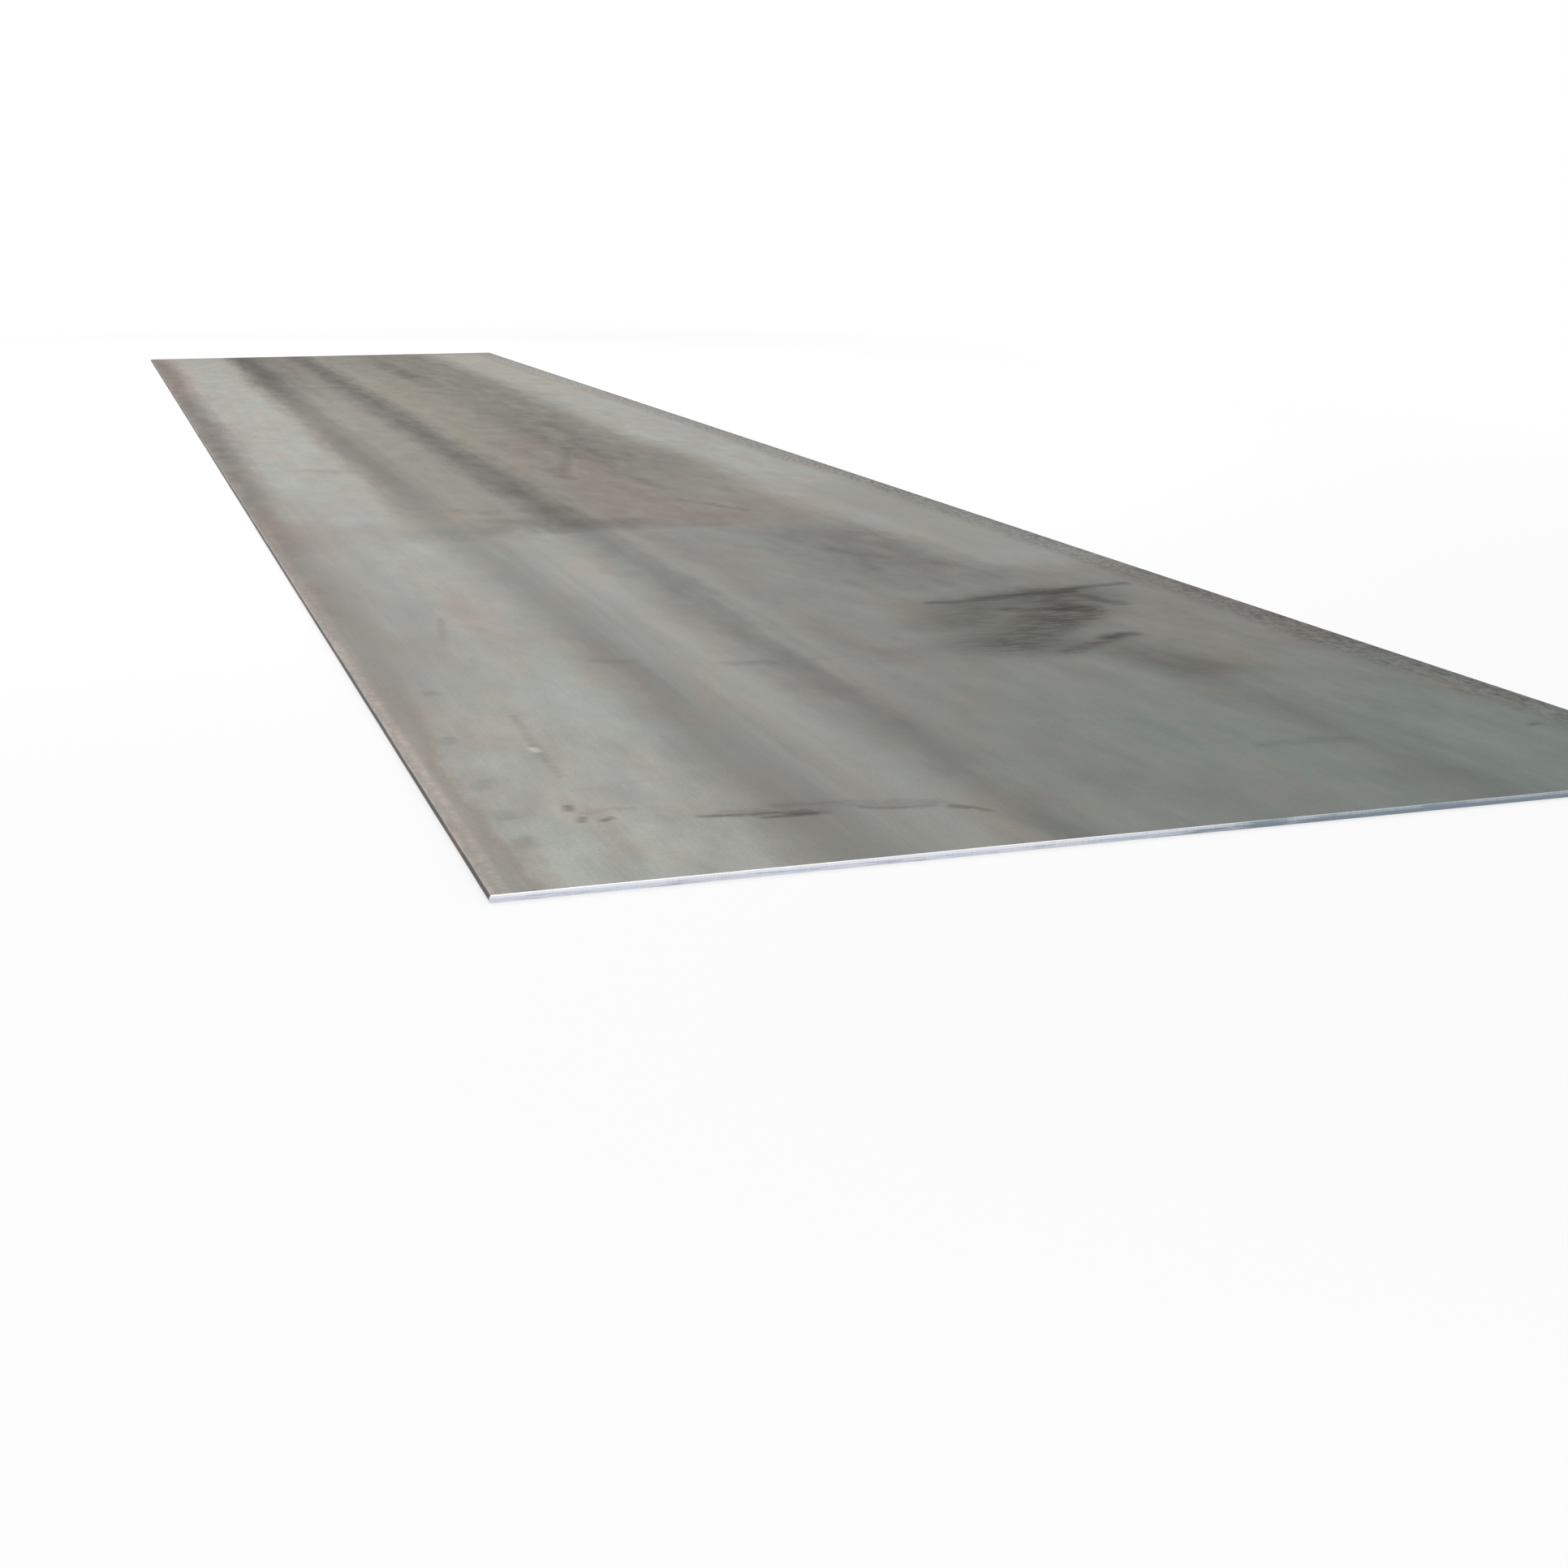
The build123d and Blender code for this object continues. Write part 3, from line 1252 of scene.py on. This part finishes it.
@dataclass(frozen=True)
class RolledPlate:
    """The plate, as one closed mesh grown from a gridded block by a geometry tree."""

    size: Size
    shape: PlateShape
    node: ClassVar[str] = "steel_plate"
    body: str = "root"
    slot: str = "mill_scale"
    rows: tuple[int, int, int] = (80, 400, 20)  # of faces along, across and up the block
    crease_angle: float = 40.0  # degrees, past which an edge is shaded sharp
    seed: float = 7.0

    def build(self) -> bpy.types.Object:
        """Grows the mesh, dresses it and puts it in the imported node's place.

        Returns:
            The finished piece.
        """
        finishes: dict[str, Finish] = {
            "Top finish": MillScale(Face.TOP, TOP_MARKS),
            "Underside finish": MillScale(Face.UNDERSIDE),
            "End finish": ShearedSteel(),
            "Side finish": MillEdge(),
        }
        inputs: dict[str, object] = {}
        for name, finish in finishes.items():
            inputs[name] = finish.material(self.size)
        sizes = {**asdict(self.size), **asdict(self.shape), "seed": self.seed}
        for name, value in sizes.items():
            inputs[name.replace("_", " ").capitalize()] = value
        piece = grow("hot_rolled_plate", self._tree(inputs), inputs)
        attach(piece, self.body)
        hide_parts(self.node)
        return piece

    def _tree(self, inputs: dict[str, object]) -> bpy.types.GeometryNodeTree:
        """Builds the geometry tree.

        Args:
            inputs: the finishes and the sizes that it takes, by name.

        Returns:
            The tree, with one named input for each of them.
        """
        tree = bpy.data.node_groups.new("rolled_plate", "GeometryNodeTree")
        for name, value in inputs.items():
            kind = "NodeSocketFloat" if isinstance(value, float) else "NodeSocketMaterial"
            tree.interface.new_socket(name, in_out="INPUT", socket_type=kind)
        tree.interface.new_socket("Plate", in_out="OUTPUT", socket_type="NodeSocketGeometry")
        bench = Bench(tree)
        entry = bench.node("NodeGroupInput")
        given = {name: Signal(bench, entry.outputs[name]) for name in inputs}

        # The block is a cube from -1 to 1, and each point keeps where it stood in it
        block = bench.node("GeometryNodeMeshCube")
        block.inputs["Size"].default_value = (2, 2, 2)
        for axis, count in zip("XYZ", self.rows):
            block.inputs[f"Vertices {axis}"].default_value = count + 1
        capture = bench.node("GeometryNodeCaptureAttribute")
        capture.capture_items.new("VECTOR", "Share")
        bench.feed(capture.inputs["Geometry"], block.outputs["Mesh"])
        bench.feed(capture.inputs["Share"], bench.node("GeometryNodeInputPosition").outputs[0])
        u, v, w = bench.split(Signal(bench, capture.outputs["Share"]))

        shift = bench.node("GeometryNodeSetPosition")
        bench.feed(shift.inputs["Geometry"], capture.outputs["Geometry"])
        bench.feed(shift.inputs["Position"], self._position(bench, given, u, v, w))
        flow = self._shade(bench, shift.outputs["Geometry"])
        whole = bench.node("GeometryNodeRealizeInstances")
        bench.feed(whole.inputs["Geometry"], flow)
        flow = self._paint(bench, whole.outputs["Geometry"], given, u, w)
        bench.feed(bench.node("NodeGroupOutput").inputs["Plate"], flow)
        return tree

    def _shade(self, bench: Bench, flow: bpy.types.NodeSocket) -> bpy.types.NodeSocket:
        """Shades the faces smooth and their creases sharp.

        Args:
            bench: the tree's bench.
            flow: the geometry.

        Returns:
            The shaded geometry.
        """
        smooth = bench.node("GeometryNodeSetShadeSmooth", domain="FACE")
        bench.feed(smooth.inputs["Geometry"], flow)
        angle = Signal(bench, bench.node("GeometryNodeInputMeshEdgeAngle").outputs[0])
        sharp = bench.math("GREATER_THAN", angle, math.radians(self.crease_angle))
        crease = bench.node("GeometryNodeSetShadeSmooth", domain="EDGE")
        bench.feed(crease.inputs["Geometry"], smooth.outputs["Geometry"])
        bench.feed(crease.inputs["Selection"], sharp)
        crease.inputs["Shade Smooth"].default_value = False
        return crease.outputs["Geometry"]

    def _paint(
        self, bench: Bench, flow: bpy.types.NodeSocket, given: dict[str, Signal], u: Signal, w: Signal
    ) -> bpy.types.NodeSocket:
        """Gives each side of the block its finish.

        Args:
            bench: the tree's bench.
            flow: the geometry.
            given: the tree's inputs.
            u: where a face stands along the block.
            w: where it stands up the block.

        Returns:
            The geometry with its materials.
        """
        nearly = 0.9999  # only a face that lies on that side of the block is past it
        zones = (
            ("Side finish", None),
            ("Top finish", bench.math("GREATER_THAN", w, nearly)),
            ("Underside finish", bench.math("LESS_THAN", w, -nearly)),
            ("End finish", bench.math("GREATER_THAN", abs(u), nearly)),
        )
        for name, zone in zones:
            paint = bench.node("GeometryNodeSetMaterial")
            bench.feed(paint.inputs["Geometry"], flow)
            bench.feed(paint.inputs["Material"], given[name])
            if zone is not None:
                bench.feed(paint.inputs["Selection"], zone)
            flow = paint.outputs["Geometry"]
        return flow

    def _position(
        self, bench: Bench, given: dict[str, Signal], u: Signal, v: Signal, w: Signal
    ) -> Signal:
        """Places each point of the block on the plate.

        Args:
            bench: the tree's bench.
            given: the tree's inputs.
            u: where the point stands along the block, from -1 to 1.
            v: where it stands across the block.
            w: where it stands up the block.

        Returns:
            The point's place.
        """
        half_length = given["Length"] * 0.5
        half_width = given["Width"] * 0.5
        middle = given["Thickness"] * 0.5
        seed = given["Seed"]

        # Rows crowd towards the edges, where the shape turns
        quarter = math.pi / 2
        even = 0.1  # the share of the spacing across that doesn't
        x = half_length * bench.math("SINE", u * quarter)
        y = half_width * (v * even + bench.math("SINE", v * quarter) * (1.0 - even))
        off = middle * bench.math("SINE", w * quarter)

        wander = bench.ramp(bench.swing(SIDE, x, v, seed), *USUAL_SWING)
        side = half_width - self._bulge_in(bench, given, off) - given["Edge wander"] * wander
        inset = self._end_in(bench, given, y, off, bench.math("SIGN", u))
        drift = bench.ramp(bench.swing(GAUGE, x, y, seed), *USUAL_SWING)
        sag = given["Gauge drift"] * drift * (off / middle + 1.0) * 0.5
        return bench.join(
            x * (half_length - inset) / half_length,
            y * side / half_width,
            middle + off - sag,
        )

    def _bulge_in(self, bench: Bench, given: dict[str, Signal], off: Signal) -> Signal:
        """Shapes the mill edge: a bulging arc, with a smaller arc at each corner.

        Args:
            bench: the tree's bench.
            given: the tree's inputs.
            off: how far the point is above mid height.

        Returns:
            How far in the side lies there, from the full width.
        """
        middle = given["Thickness"] * 0.5
        bulge = given["Bulge"]
        corner = given["Corner radius"]
        arc = (middle * middle + bulge * bulge) / (bulge * 2.0)
        inner = arc - corner
        corner_rise = middle - corner
        corner_in = bench.math("SQRT", inner * inner - corner_rise * corner_rise)
        turn = corner_rise * arc / inner
        rise = abs(off)
        on_arc = bench.math("SQRT", arc * arc - rise * rise)
        over = bench.math("MAXIMUM", rise - corner_rise, 0.0)
        level = bench.math("MAXIMUM", corner * corner - over * over, 0.0)
        on_corner = corner_in + bench.math("SQRT", level)
        past = bench.math("GREATER_THAN", rise, turn)
        return arc - (on_arc + (on_corner - on_arc) * past)

    def _end_in(
        self, bench: Bench, given: dict[str, Signal], y: Signal, off: Signal, end: Signal
    ) -> Signal:
        """Shapes the sheared end: drawn in by the blade, smooth below that, then torn.

        Args:
            bench: the tree's bench.
            given: the tree's inputs.
            y: how far the point is from the plate's middle line.
            off: how far it is above mid height.
            end: 1 at the leading end, and -1 at the other.

        Returns:
            How far in the end lies there, from the full length.
        """
        seed = given["Seed"]
        thickness = given["Thickness"]
        depth = thickness * 0.5 - off * end
        drop = given["Rollover drop"]
        run = given["Rollover run"]
        radius = given["Rollover radius"]
        chord = bench.math("SQRT", drop * drop + run * run)
        sink = bench.math("SQRT", radius * radius - chord * chord * 0.25)
        centre_in = run * 0.5 + sink * drop / chord
        centre_down = drop * 0.5 + sink * run / chord
        up = centre_down - bench.math("MINIMUM", depth, drop)
        level = bench.math("MAXIMUM", radius * radius - up * up, 0.0)
        drawn = centre_in - bench.math("SQRT", level)

        uneven = bench.swing(BURNISH, y, 0.0, seed)
        torn_from = drop + given["Burnish height"]
        torn = bench.math("MAXIMUM", depth - torn_from + uneven * given["Burnish wander"], 0.0)
        torn = torn / (thickness - torn_from)
        rough = bench.noise(TORN, y, off, seed)
        full_after = 0.25  # of the torn band, and from there the tear is at its full depth
        tear = bench.math("MINIMUM", torn / full_after, 1.0) * rough * given["Tear depth"]
        foot = bench.ramp(thickness - depth, 0.0, given["Burr height"], 1.0, 0.0)
        burr = foot * given["Burr reach"] * bench.ramp(uneven, -0.25, 0.25)
        inset = bench.math("MAXIMUM", drawn, 0.0) + torn * given["Fracture setback"] + tear
        return bench.math("MAXIMUM", inset - burr, 0.0)


def grow(
    name: str, tree: bpy.types.GeometryNodeTree, inputs: dict[str, object]
) -> bpy.types.Object:
    """Runs a geometry tree once and keeps its result as a plain mesh.

    Args:
        name: the piece's name.
        tree: the geometry tree.
        inputs: a value for each of the tree's named inputs.

    Returns:
        The piece, with no modifier, at the origin.
    """
    holder = bpy.data.objects.new(f"{name}_holder", bpy.data.meshes.new(f"{name}_holder"))
    bpy.context.scene.collection.objects.link(holder)
    modifier = holder.modifiers.new("grow", "NODES")
    modifier.node_group = tree
    for item in tree.interface.items_tree:
        if item.in_out == "INPUT":
            modifier[item.identifier] = inputs[item.name]
    holder.update_tag()
    evaluated = holder.evaluated_get(bpy.context.evaluated_depsgraph_get())
    mesh = bpy.data.meshes.new_from_object(evaluated)
    holder.modifiers.clear()
    bpy.data.objects.remove(holder)
    mesh.name = name
    piece = bpy.data.objects.new(name, mesh)
    bpy.context.scene.collection.objects.link(piece)
    return piece


def main() -> None:
    """Builds the studio and the plate, and logs the plate's count of faces."""
    logging.basicConfig(level=logging.INFO, format="%(name)s: %(message)s")
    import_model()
    Camera().place()
    size = Size.of_node(RolledPlate.node)
    Studio().build(size)
    piece = RolledPlate(size, PlateShape()).build()
    LOG.info("%s: %d faces", piece.name, len(piece.data.polygons))


if __name__ == "__main__":
    main()
